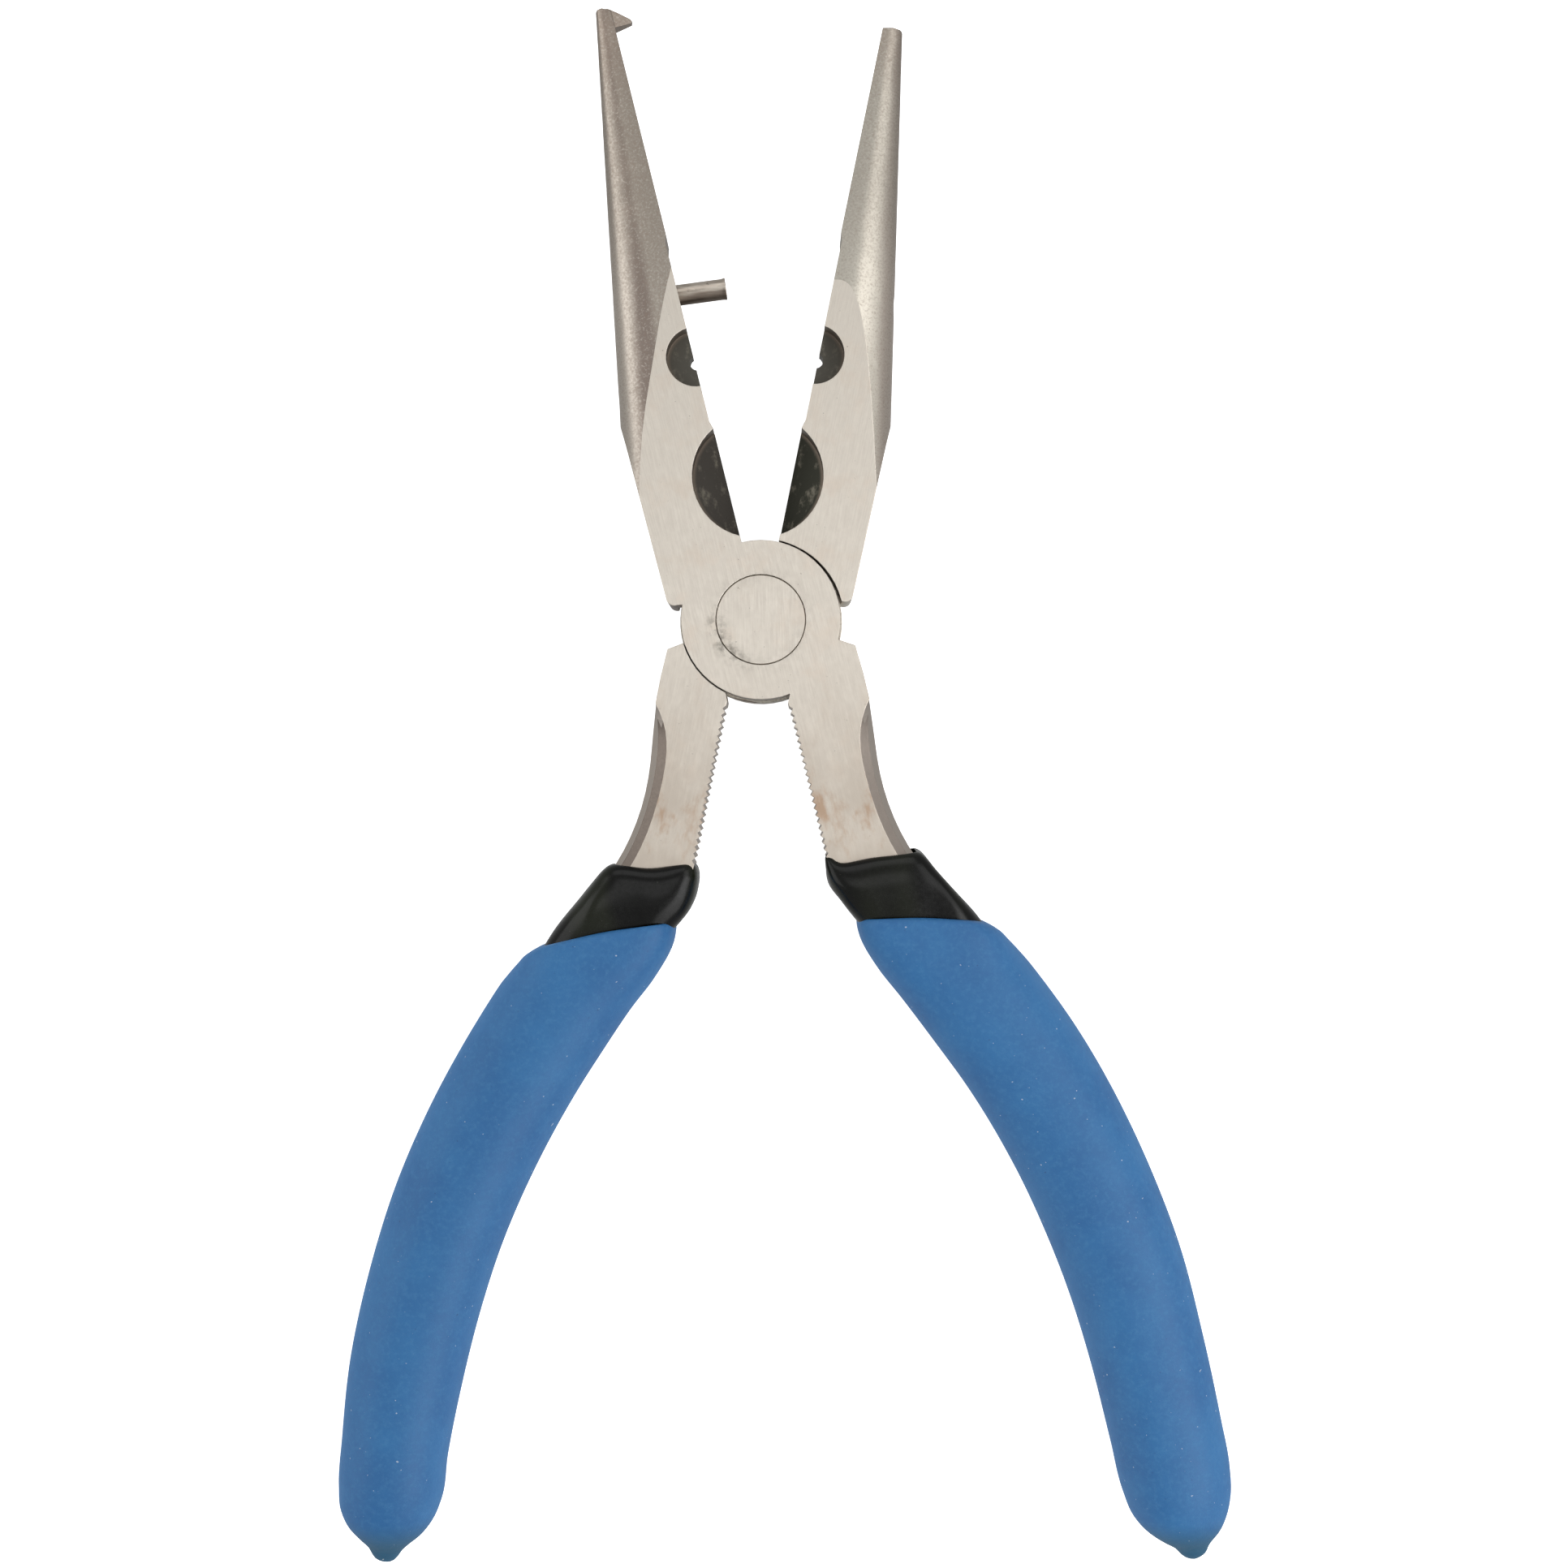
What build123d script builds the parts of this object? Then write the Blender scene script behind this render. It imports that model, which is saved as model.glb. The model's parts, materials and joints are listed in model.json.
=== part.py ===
"""Long-nose fishing pliers with a split-ring tooth, a side cutter, a crimper and dipped grips.

The object lies flat. +Z runs along the pivot axis and up, +Y points along the closed jaws to their
tips, and the origin is on the pivot axis in the back face of the joint. The pliers are drawn open.

Both levers are the same forging turned over, so each is drawn in its own frame: y along the jaw,
x outboard from the inner face of the jaw, and z from mid thickness towards the lever's full half.
The jaw is on the +x side, the tang on the -x side, and the lap half of the joint on the -z side.
"""

import os
from dataclasses import dataclass
from math import cos, radians, sin

from build123d import *

os.makedirs("parts", exist_ok=True)

# Whole tool
thickness = 9.0
opening = 25.2
mid = thickness / 2

# Lap joint and rivet
front_disc_radius = 7.9
back_disc_radius = 8.15
lap_gap = 0.1
step_gap = 0.15
jaw_step_shift = (0.22, -0.05)
shank_radius = 3.0
shank_clearance = 0.04
head_radius = 4.45
head_recess_radius = 4.5
head_depth = 1.8
head_end_play = 0.05
head_edge = 0.08

# Jaws
tip_half_height = 1.4
taper_from_y = 61.0
height_taper = 0.1216
cone_base_y = 3.0
# Shares of the nose's width and half height that its back passes through. The side with the lever's
# full half is crowned, and the lap side falls away from the inner face.
full_side_back = ((0, 0.97), (0.35, 0.96), (0.643, 0.838), (0.827, 0.682))
full_side_slope = 0.03
lap_side_back = ((0, 1.03), (0.3, 0.92), (0.6, 0.788), (0.82, 0.66))
lap_side_slope = -0.22
relief_depth = 0.25
shoulder_y = 3.4
shoulder_radius = 0.8

# Split-ring tooth, on the jaw that has one
tooth_reach = 1.8
tooth_root_half = 1.1
tooth_point_half = 0.5

# Pin in the toothed jaw and the hole for it in the other
pin_radius = 1.05
pin_y = 33.9
pin_reach = 4.6
pin_buried = 4.0
pin_tilt = 6.1
pin_end_edge = 0.12
pin_hole_radius = 1.5
pin_hole_y = 33.55
jaw_side_x = 9.5

# Crimper and cutter
crimper_y = 26.85
crimper_x = 0.05
crimper_radius = 2.95
crimper_web = 3.0
crimp_notch_radius = 0.75
crimp_notch_depth = 0.5
crimp_notch_y = 26.65
cutter_y = 14.05
cutter_x = -2.75
cutter_radius = 6.15
cutter_edge_half = 0.3
cutter_floor_half = 2.9
cutter_floor_x = 3.6

# Tangs
tang_shoulder = (-8.5, -4.7)
bevel_width = 1.5
bevel_depth = 1.6
bevel_crown = 0.4
bevel_steps = ((bevel_depth, 0), (bevel_crown * bevel_depth, bevel_crown * bevel_width), (0, bevel_width))
bevel_start = (-8.6, -10.2)
tang_end_y = -88.0
tang_flat_y = -27.0
tang_thin_y = -34.0
tang_thin_half = 3.9
tang_end_half = 2.6
serration_pitch = 0.7
serration_depth = 0.3
serration_start_y = -9.0
serration_count = 23

# Coats on the tangs. A station is x, y, turn from straight down, width and height.
sleeve_corner = 0.19
left_sleeve_top = [
    (-5.6, -25.8, -12.0, 9.3, 9.9),
    (-5.9, -27.3, -11.0, 10.1, 10.5),
    (-7.2, -31.2, -3.0, 11.3, 10.5),
    (-9.05, -35.4, 8.0, 10.5, 10.2),
]
right_sleeve_top = [
    (-5.35, -25.2, -1.5, 9.9, 9.9),
    (-5.5, -26.5, -3.0, 10.5, 10.5),
    (-7.1, -30.9, -3.0, 11.6, 10.5),
    (-9.05, -35.4, 8.0, 10.5, 10.2),
]
grip_wall = 1.65
grip_corner = 0.42
left_grip_top = [
    (-8.75, -34.1, -19.0, 13.6, 11.5),
    (-10.9, -39.05, 8.9, 12.4, 11.9),
]
right_grip_top = [
    (-8.35, -33.2, -11.5, 12.8, 11.5),
    (-10.9, -38.8, 10.0, 12.7, 11.9),
]
left_grip_length = [
    (-12.95, -43.3, 25.0, 12.1, 12.0),
    (-15.15, -49.0, 21.5, 12.2, 12.0),
    (-17.4, -56.7, 16.5, 12.1, 12.0),
    (-18.9, -64.5, 11.5, 11.9, 12.0),
    (-19.85, -72.5, 6.5, 11.7, 11.8),
    (-20.1, -80.5, 1.5, 11.4, 11.4),
    (-19.75, -89.5, -1.0, 10.8, 11.0),
]
right_grip_length = [
    (-13.0, -43.3, 25.0, 12.2, 12.0),
    (-15.2, -49.0, 21.5, 12.3, 12.0),
    (-17.55, -56.7, 16.5, 12.2, 12.0),
    (-19.1, -64.5, 11.5, 12.0, 12.0),
    (-20.0, -72.5, 6.5, 11.8, 11.8),
    (-20.25, -80.5, 1.5, 11.5, 11.4),
    (-20.0, -89.5, 0.0, 11.2, 11.0),
]
left_grip_end = [
    (-19.3, -93.4, -4.0, 10.2, 10.4),
    (-19.0, -96.1, -6.0, 8.4, 8.8),
    (-18.6, -97.9, -8.0, 5.6, 5.6),
    (-18.35, -100.0, -8.0, 2.0, 2.0),
]
right_grip_end = [
    (-20.1, -93.8, 0.0, 11.1, 10.9),
    (-19.95, -96.7, 0.0, 9.9, 9.6),
    (-20.0, -98.9, 0.0, 7.0, 7.0),
    (-20.1, -101.8, 0.0, 2.2, 2.2),
]

half_opening = radians(opening / 2)


@dataclass
class Lever:
    """Frame of a lever and the sizes in which the two levers differ."""

    frame: Plane
    tip_y: float
    tip_width: float
    tip_slope: float
    width_taper: float
    face_x: float
    side_x: float
    tang_inner_x: float
    disc_radius: float
    room_radius: float


tooth_side = Lever(
    frame=Plane(
        origin=(0, 0, mid),
        x_dir=(-cos(half_opening), -sin(half_opening), 0),
        z_dir=(0, 0, -1),
    ),
    tip_y=63.6,
    tip_width=2.0,
    tip_slope=0.55,
    width_taper=0.183,
    face_x=0.02,
    side_x=8.62,
    tang_inner_x=-0.68,
    disc_radius=front_disc_radius,
    room_radius=back_disc_radius + step_gap,
)
socket_side = Lever(
    frame=Plane(
        origin=(0, 0, mid),
        x_dir=(cos(half_opening), -sin(half_opening), 0),
        z_dir=(0, 0, 1),
    ),
    tip_y=60.95,
    tip_width=2.2,
    tip_slope=0.25,
    width_taper=0.171,
    face_x=0.2,
    side_x=8.5,
    tang_inner_x=-1.67,
    disc_radius=back_disc_radius,
    room_radius=front_disc_radius + step_gap,
)


def station(frame, x, y, turn):
    """Plane across a lever at (x, y), facing along it towards the jaw tips; its y is the lever's z."""
    across = Plane(
        origin=(x, y, 0),
        x_dir=(cos(radians(turn)), -sin(radians(turn)), 0),
        z_dir=(-sin(radians(turn)), -cos(radians(turn)), 0),
    )
    return Plane(frame * across)


def draw_nose_section(lever, y):
    """Section of the tapered nose: high at the inner face, rounding over to the outer edge."""
    width = lever.tip_width + lever.width_taper * (taper_from_y - y)
    half = tip_half_height + height_taper * (taper_from_y - y)
    behind = -1.0
    full_side = [(across * width, up * half) for across, up in full_side_back]
    lap_side = [(across * width, -up * half) for across, up in lap_side_back]
    full_edge = full_side[0][1]
    lap_edge = lap_side[0][1]
    Polyline((0, full_edge), (behind, full_edge), (behind, lap_edge), (0, lap_edge))
    Spline(*full_side, (width, 0), tangents=[(1, full_side_slope), (0, -1)])
    Spline(*lap_side, (width, 0), tangents=[(1, -lap_side_slope), (0, 1)])


def draw_jaw_plan(lever):
    """Plan of a jaw: inner face with its relieved middle, tip, back and shoulder."""
    tip_y = lever.tip_y
    tip_x = lever.tip_width + lever.width_taper * (taper_from_y - tip_y)
    face_x = lever.face_x
    relief_x = face_x + relief_depth
    face = Polyline(
        (4.5, 2.8),
        (face_x, shoulder_y),
        (face_x, 19.4),
        (relief_x, 20.3),
        (relief_x, 38.6),
        (face_x, 39.4),
        (face_x, tip_y - lever.tip_slope),
        (0.55 * tip_x, tip_y),
        (tip_x - 0.3, tip_y),
    )
    corner = ThreePointArc(face @ 1, (tip_x - 0.02, tip_y - 0.14), (tip_x + 0.12, tip_y - 0.5))
    back = Line(corner @ 1, (tip_x + 1.4, tip_y - 2.5))
    side_x = lever.side_x
    flank = Line(back @ 1, (side_x + 0.6, 24.0))
    bend = Spline(flank @ 1, (side_x + 0.3, 20.0), (side_x + 0.2, 16.0), tangents=[(-0.12, -1), (-0.03, -1)])
    side = Line(bend @ 1, (side_x, shoulder_y + shoulder_radius))
    turn = RadiusArc(side @ 1, (side_x - 0.9, shoulder_y - 0.03), shoulder_radius)
    Line(turn @ 1, face @ 0)


def draw_tang_plan(inner_x, inset):
    """Plan of a tang; its outer edge moves in by up to inset below the start of the bevel."""
    foot = (0.5 * inner_x - 3.0, -3.4)
    Polyline(foot, (-7.0, -3.75), tang_shoulder, (-8.62, -7.6), bevel_start)
    outer = Spline(
        bevel_start,
        (-8.3 + 0.93 * inset, -13.2),
        (-7.9 + inset, -17.8),
        (-8.95 + inset, -25.4),
        (-12.1 + inset, -32.5),
        (-17.9 + inset, -45.0),
        (-21.8 + inset, -58.0),
        (-23.3 + inset, -74.0),
        (-22.9 + inset, tang_end_y),
    )
    end = Line(outer @ 1, (-17.4, tang_end_y))
    inner = Spline(
        end @ 1,
        (-17.2, -74.0),
        (-14.9, -58.0),
        (-10.6, -46.0),
        (-5.2, -35.5),
        (inner_x - 0.6, -28.6),
        (inner_x, -25.0),
        tangents=[(0.05, 1), (0, 1)],
    )
    Polyline(inner @ 1, (inner_x, -8.6), foot)


def lever_blank(lever):
    """One forging: jaw, lap half of the joint and tang, with its crimper, cutter and serration."""
    frame = lever.frame
    inner_x = lever.tang_inner_x
    web_x = lever.face_x + relief_depth
    with BuildPart() as nose:
        for y in (cone_base_y, taper_from_y + 4):
            with BuildSketch(station(frame, 0, y, 0)):
                with BuildLine():
                    draw_nose_section(lever, y)
                make_face()
        loft(ruled=True)
        with BuildSketch(frame.offset(-mid)):
            with BuildLine():
                draw_jaw_plan(lever)
            make_face()
        extrude(amount=thickness, mode=Mode.INTERSECT)

    with BuildPart() as tang:
        with BuildSketch(frame.offset(bevel_depth - mid)):
            with BuildLine():
                draw_tang_plan(inner_x, 0)
            make_face()
        extrude(amount=thickness - 2 * bevel_depth)
        for side in (1, -1):
            for drop, inset in bevel_steps:
                with BuildSketch(frame.offset(side * (mid - drop))):
                    with BuildLine():
                        draw_tang_plan(inner_x, inset)
                    make_face()
            loft(ruled=True)
        side_plane = Plane(frame * Plane(origin=(0, 0, 0), x_dir=(0, 1, 0), z_dir=(1, 0, 0)))
        with BuildSketch(side_plane.offset(-30)):
            Polygon(
                (0, mid),
                (tang_flat_y, mid),
                (tang_thin_y, tang_thin_half),
                (tang_end_y, tang_end_half),
                (tang_end_y, -tang_end_half),
                (tang_thin_y, -tang_thin_half),
                (tang_flat_y, -mid),
                (0, -mid),
                align=None,
            )
        extrude(amount=40, mode=Mode.INTERSECT)

    with BuildPart() as cutter_pocket:
        with BuildSketch(frame.offset(-thickness)):
            with Locations((cutter_x, cutter_y)):
                Circle(cutter_radius)
        extrude(amount=2 * thickness)
        with BuildSketch(station(frame, 0, cutter_y + 9, 0)):
            for side in (1, -1):
                Polygon(
                    (-2, side * cutter_edge_half),
                    (lever.face_x, side * cutter_edge_half),
                    (cutter_floor_x, side * cutter_floor_half),
                    (cutter_floor_x + 2, side * cutter_floor_half),
                    (cutter_floor_x + 2, side * thickness),
                    (-2, side * thickness),
                    align=None,
                )
        extrude(amount=18, mode=Mode.INTERSECT)

    with BuildPart() as blank:
        add(nose.part)
        add(tang.part)
        # Room for the other lever's lap half, then this lever's own half.
        with BuildSketch(frame.offset(-lap_gap / 2)):
            Circle(lever.room_radius)
            with Locations(jaw_step_shift):
                Circle(lever.room_radius)
        extrude(amount=thickness, mode=Mode.SUBTRACT)
        with BuildSketch(frame.offset(-mid)):
            Circle(lever.disc_radius)
        extrude(amount=mid - lap_gap / 2)
        add(cutter_pocket.part, mode=Mode.SUBTRACT)
        for side in (1, -1):
            with BuildSketch(frame.offset(side * crimper_web / 2)):
                with Locations((crimper_x, crimper_y)):
                    Circle(crimper_radius)
            extrude(amount=side * thickness, mode=Mode.SUBTRACT)
        with BuildSketch(frame.offset(-mid)):
            with Locations((web_x + crimp_notch_depth - crimp_notch_radius, crimp_notch_y)):
                Circle(crimp_notch_radius)
        extrude(amount=thickness, mode=Mode.SUBTRACT)
        with BuildSketch(frame.offset(-mid)):
            with BuildLine():
                points = []
                for tooth in range(serration_count):
                    y = serration_start_y - tooth * serration_pitch
                    points.append((inner_x + 0.01, y))
                    points.append((inner_x - serration_depth, y - serration_pitch / 2))
                points.append((inner_x + 0.01, y - serration_pitch))
                clear_x = inner_x + 1
                Polyline(*points, (clear_x, y - serration_pitch), (clear_x, serration_start_y), close=True)
            make_face()
        extrude(amount=thickness, mode=Mode.SUBTRACT)
    return blank.part


def coat(frame, stations, corner):
    """Closed outer form of a dipped coat, through rounded sections along the tang."""
    with BuildPart() as form:
        for x, y, turn, width, height in stations:
            with BuildSketch(station(frame, x, y, turn)):
                RectangleRounded(width, height, corner * min(width, height))
        loft(ruled=True)
    return form.part


def inside_grip(stations):
    """Stations of the sleeve where it runs on under the grip."""
    walls = 2 * grip_wall
    return [(x, y, turn, width - walls, height - walls) for x, y, turn, width, height in stations]


# The pin's axis leans towards the tangs, so that it follows the arc on which it enters its hole.
pin_axis = Plane(
    tooth_side.frame
    * Plane(
        origin=(0, pin_y, 0),
        x_dir=(0, 0, 1),
        z_dir=(-cos(radians(pin_tilt)), -sin(radians(pin_tilt)), 0),
    )
)

with BuildPart() as jaw_pin:
    with BuildSketch(pin_axis.offset(-pin_buried)):
        Circle(pin_radius)
    extrude(amount=pin_buried + pin_reach)
    rims = jaw_pin.edges().filter_by(GeomType.CIRCLE)
    chamfer(rims.sort_by(Axis(pin_axis.origin, pin_axis.z_dir))[-1], pin_end_edge)

with BuildPart() as split_ring_tooth:
    with BuildSketch(tooth_side.frame.offset(-mid)):
        Polygon(
            (0.6, 61.35),
            (0.0, 61.35),
            (-tooth_reach + 0.1, 61.53),
            (-tooth_reach, 61.7),
            (-tooth_reach + 0.13, 61.95),
            (-0.53, 62.8),
            (0.3, 63.35),
            (0.6, 63.4),
            align=None,
        )
    extrude(amount=thickness)
    with BuildSketch(station(tooth_side.frame, 0, tooth_side.tip_y + 2, 0)):
        Polygon(
            (1.0, tooth_root_half),
            (0, tooth_root_half),
            (-tooth_reach, tooth_point_half),
            (-tooth_reach, -tooth_point_half),
            (0, -tooth_root_half),
            (1.0, -tooth_root_half),
            align=None,
        )
    extrude(amount=6, mode=Mode.INTERSECT)

with BuildPart() as tooth_lever:
    add(lever_blank(tooth_side))
    add(split_ring_tooth.part)
    with BuildSketch(tooth_side.frame.offset(-mid)):
        Circle(shank_radius)
    extrude(amount=thickness, mode=Mode.SUBTRACT)
    with BuildSketch(tooth_side.frame.offset(-mid)):
        Circle(head_recess_radius)
    extrude(amount=head_depth, mode=Mode.SUBTRACT)
    add(jaw_pin.part, mode=Mode.SUBTRACT)

with BuildPart() as socket_lever:
    add(lever_blank(socket_side))
    with BuildSketch(socket_side.frame.offset(-mid)):
        Circle(shank_radius + shank_clearance)
    extrude(amount=thickness, mode=Mode.SUBTRACT)
    with BuildSketch(socket_side.frame.offset(-mid)):
        Circle(head_recess_radius)
    extrude(amount=head_depth + head_end_play, mode=Mode.SUBTRACT)
    side_on = Plane(socket_side.frame * Plane(origin=(0, pin_hole_y, 0), x_dir=(0, 1, 0), z_dir=(1, 0, 0)))
    with BuildSketch(side_on.offset(-1)):
        Circle(pin_hole_radius)
    extrude(amount=jaw_side_x + 1, mode=Mode.SUBTRACT)

with BuildPart() as pivot_rivet:
    with BuildSketch(Plane.XY):
        Circle(head_radius)
    extrude(amount=head_depth)
    with BuildSketch(Plane.XY.offset(thickness - head_depth)):
        Circle(head_radius)
    extrude(amount=head_depth)
    chamfer(pivot_rivet.edges().filter_by(GeomType.CIRCLE).group_by(Axis.Z)[0], head_edge)
    chamfer(pivot_rivet.edges().filter_by(GeomType.CIRCLE).group_by(Axis.Z)[-1], head_edge)
    with BuildSketch(Plane.XY.offset(head_depth)):
        Circle(shank_radius)
    extrude(amount=thickness - 2 * head_depth)

left_sleeve = [*left_sleeve_top, *inside_grip(left_grip_length)]
left_sleeve_form = coat(socket_side.frame, left_sleeve, sleeve_corner)
right_sleeve = [*right_sleeve_top, *inside_grip(right_grip_length)]
right_sleeve_form = coat(tooth_side.frame, right_sleeve, sleeve_corner)

with BuildPart() as left_inner_sleeve:
    add(left_sleeve_form)
    add(socket_lever.part, mode=Mode.SUBTRACT)

with BuildPart() as right_inner_sleeve:
    add(right_sleeve_form)
    add(tooth_lever.part, mode=Mode.SUBTRACT)

with BuildPart() as left_grip:
    add(coat(socket_side.frame, [*left_grip_top, *left_grip_length, *left_grip_end], grip_corner))
    add(left_sleeve_form, mode=Mode.SUBTRACT)

with BuildPart() as right_grip:
    add(coat(tooth_side.frame, [*right_grip_top, *right_grip_length, *right_grip_end], grip_corner))
    add(right_sleeve_form, mode=Mode.SUBTRACT)

pieces = {
    "tooth_lever": tooth_lever,
    "socket_lever": socket_lever,
    "pivot_rivet": pivot_rivet,
    "jaw_pin": jaw_pin,
    "left_inner_sleeve": left_inner_sleeve,
    "right_inner_sleeve": right_inner_sleeve,
    "left_grip": left_grip,
    "right_grip": right_grip,
}
for name, piece in pieces.items():
    piece.part.label = name
    export_step(piece.part, f"parts/{name}.step")
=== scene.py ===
"""Looks of the split-ring fishing pliers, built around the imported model.

Metres, in the model's own frame: +Z up along the pivot axis, +Y to the jaw tips, origin on the pivot
axis in the joint's back face. The levers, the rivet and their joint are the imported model's own pieces
and get materials here. The dipped coats and the jaw's pin are replaced by finer meshes.

Each lever has its own plan frame, as in the model: x outboard from the jaw's inner face, y along the
jaw. Its tang lies at negative x. Sizes in that frame are in millimetres.
"""

import json
from math import atan, cos, pi, radians, sin

import bpy
import numpy as np
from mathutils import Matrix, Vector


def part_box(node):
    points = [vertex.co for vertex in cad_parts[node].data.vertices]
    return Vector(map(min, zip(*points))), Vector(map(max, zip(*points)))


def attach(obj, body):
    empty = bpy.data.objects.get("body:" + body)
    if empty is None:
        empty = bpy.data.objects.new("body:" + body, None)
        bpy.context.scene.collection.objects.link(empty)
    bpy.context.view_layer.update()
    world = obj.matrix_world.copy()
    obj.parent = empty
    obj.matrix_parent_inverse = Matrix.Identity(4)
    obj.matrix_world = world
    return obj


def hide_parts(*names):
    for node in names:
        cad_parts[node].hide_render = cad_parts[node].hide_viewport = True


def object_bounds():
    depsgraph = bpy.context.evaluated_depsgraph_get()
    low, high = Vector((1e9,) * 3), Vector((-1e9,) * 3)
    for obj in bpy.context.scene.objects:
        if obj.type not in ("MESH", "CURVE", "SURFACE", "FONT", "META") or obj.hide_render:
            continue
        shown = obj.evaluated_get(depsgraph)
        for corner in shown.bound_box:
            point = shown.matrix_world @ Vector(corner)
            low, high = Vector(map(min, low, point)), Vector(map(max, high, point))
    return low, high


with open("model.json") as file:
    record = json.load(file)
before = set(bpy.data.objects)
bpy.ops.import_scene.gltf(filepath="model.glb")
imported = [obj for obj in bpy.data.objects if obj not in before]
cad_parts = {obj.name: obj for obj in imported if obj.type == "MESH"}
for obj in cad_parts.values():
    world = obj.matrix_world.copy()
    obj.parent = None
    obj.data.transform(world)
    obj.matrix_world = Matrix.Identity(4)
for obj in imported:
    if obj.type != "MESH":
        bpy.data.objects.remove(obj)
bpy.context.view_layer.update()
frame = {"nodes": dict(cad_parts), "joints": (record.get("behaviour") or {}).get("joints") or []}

MM = 0.001
half_opening = radians(frame["joints"][0]["range_deg"][1] / 2)
joint_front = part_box("pivot_rivet")[1].z
mid_height = joint_front / 2
LEVER_SIDE = {"socket_half": 1, "tooth_half": -1}


def srgb(red, green, blue):
    """Linear colour of an sRGB colour given from 0 to 255."""
    linear = []
    for value in (red, green, blue):
        share = value / 255
        linear.append(share / 12.92 if share <= 0.04045 else ((share + 0.055) / 1.055) ** 2.4)
    return (*linear, 1.0)


def to_frame(body, points):
    """Points of a lever's plan frame in mm, with z from mid thickness, in metres in the model's frame."""
    x, y, z = points[..., 0], points[..., 1], points[..., 2]
    turned = np.empty(points.shape)
    turned[..., 0] = LEVER_SIDE[body] * (x * cos(half_opening) + y * sin(half_opening)) * MM
    turned[..., 1] = (y * cos(half_opening) - x * sin(half_opening)) * MM
    turned[..., 2] = mid_height + z * MM
    return turned


# ---- Materials ----


class Paint:
    """A principled material and a short way to build its node graph."""

    def __init__(self, name, **values):
        self.material = bpy.data.materials.new(name)
        self.material.use_nodes = True
        self.tree = self.material.node_tree
        self.shader = self.tree.nodes["Principled BSDF"]
        for socket, value in values.items():
            self.set(socket.replace("_", " ").title(), value)

    def set(self, socket, value):
        self.fill(self.shader.inputs[socket], value)

    def fill(self, socket, value):
        if isinstance(value, bpy.types.NodeSocket):
            self.tree.links.new(value, socket)
        else:
            socket.default_value = value

    def node(self, kind, inputs, **settings):
        made = self.tree.nodes.new(kind)
        for name, value in settings.items():
            setattr(made, name, value)
        for name, value in inputs.items():
            self.fill(made.inputs[name], value)
        return made

    def math(self, operation, first, second=0.0):
        return self.node("ShaderNodeMath", {0: first, 1: second}, operation=operation).outputs[0]

    def product(self, *values):
        total = values[0]
        for value in values[1:]:
            total = self.math("MULTIPLY", total, value)
        return total

    def ramp(self, value, start, end, low=0.0, high=1.0):
        """Smooth step of a value, from low at start to high at end."""
        inputs = {"Value": value, "From Min": start, "From Max": end, "To Min": low, "To Max": high}
        made = self.node("ShaderNodeMapRange", inputs, interpolation_type="SMOOTHSTEP")
        return made.outputs["Result"]

    def mix(self, share, first, second):
        """Mix of two colours."""
        inputs = {0: share, 6: first, 7: second}
        return self.node("ShaderNodeMix", inputs, data_type="RGBA").outputs[2]

    def blend(self, share, first, second):
        """Mix of two numbers."""
        return self.node("ShaderNodeMix", {0: share, 2: first, 3: second}).outputs[0]

    def place(self, turn=0.0, scale=(1.0, 1.0, 1.0), start=None):
        """Object position in mm, scaled and then turned about the pivot axis."""
        if start is None:
            start = self.node("ShaderNodeTexCoord", {}).outputs["Object"]
            scale = tuple(value / MM for value in scale)
        inputs = {"Vector": start, "Rotation": (0, 0, turn), "Scale": scale}
        return self.node("ShaderNodeMapping", inputs).outputs[0]

    def noise(self, where, scale, detail=3.0, roughness=0.55):
        inputs = {"Vector": where, "Scale": scale, "Detail": detail, "Roughness": roughness}
        return self.node("ShaderNodeTexNoise", inputs).outputs["Fac"]

    def axes(self, vector):
        return self.node("ShaderNodeSeparateXYZ", {0: vector}).outputs

    def distance(self, where, x, y):
        """Distance in plan from a point."""
        flat = self.node("ShaderNodeVectorMath", {0: where, 1: (1, 1, 0)}, operation="MULTIPLY").outputs[0]
        inputs = {0: flat, 1: (x, y, 0)}
        return self.node("ShaderNodeVectorMath", inputs, operation="DISTANCE").outputs["Value"]

    def upward(self):
        """How far the surface faces up or down, from 0 to 1."""
        normal = self.node("ShaderNodeNewGeometry", {}).outputs["True Normal"]
        return self.math("ABSOLUTE", self.axes(normal)[2])

    def bump(self, height, strength, distance, edge=0.0):
        """Relief of the surface, on edges rounded to a radius of edge mm."""
        inputs = {"Height": height, "Strength": strength, "Distance": distance * MM}
        if edge:
            inputs["Normal"] = self.node("ShaderNodeBevel", {"Radius": edge * MM}, samples=4).outputs[0]
        self.set("Normal", self.node("ShaderNodeBump", inputs).outputs[0])


GROUND = srgb(227, 219, 207)
GROUND_WARM = srgb(220, 203, 186)
GROUND_LINE = srgb(208, 199, 188)
TARNISH = srgb(197, 186, 173)
SATIN_BROWN = srgb(150, 132, 120)
BEVEL_RIM = srgb(198, 188, 178)
RECESS = srgb(94, 91, 84)
RECESS_SCUFF = srgb(150, 144, 130)
RECESS_RIM = srgb(132, 120, 108)
RUST = srgb(176, 142, 113)
STAIN = srgb(96, 92, 84)
CUTTER_AT = (-2.75, 14.05)
CUTTER_RADIUS = 6.15
CRIMPER_AT = (0.05, 26.85)
CRIMPER_RADIUS = 2.95
CHEEK_HEIGHT = 4.45
RIVET_RADIUS = 4.45
TAPER_FROM_Y = 61.0
EDGE_RADIUS = 0.12
FACES_UP = 0.998
RECESS_MARGIN = 0.03
TANG_BELOW_Y = -8.0
STAIN_AT = (-3.9, -2.3)

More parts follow.
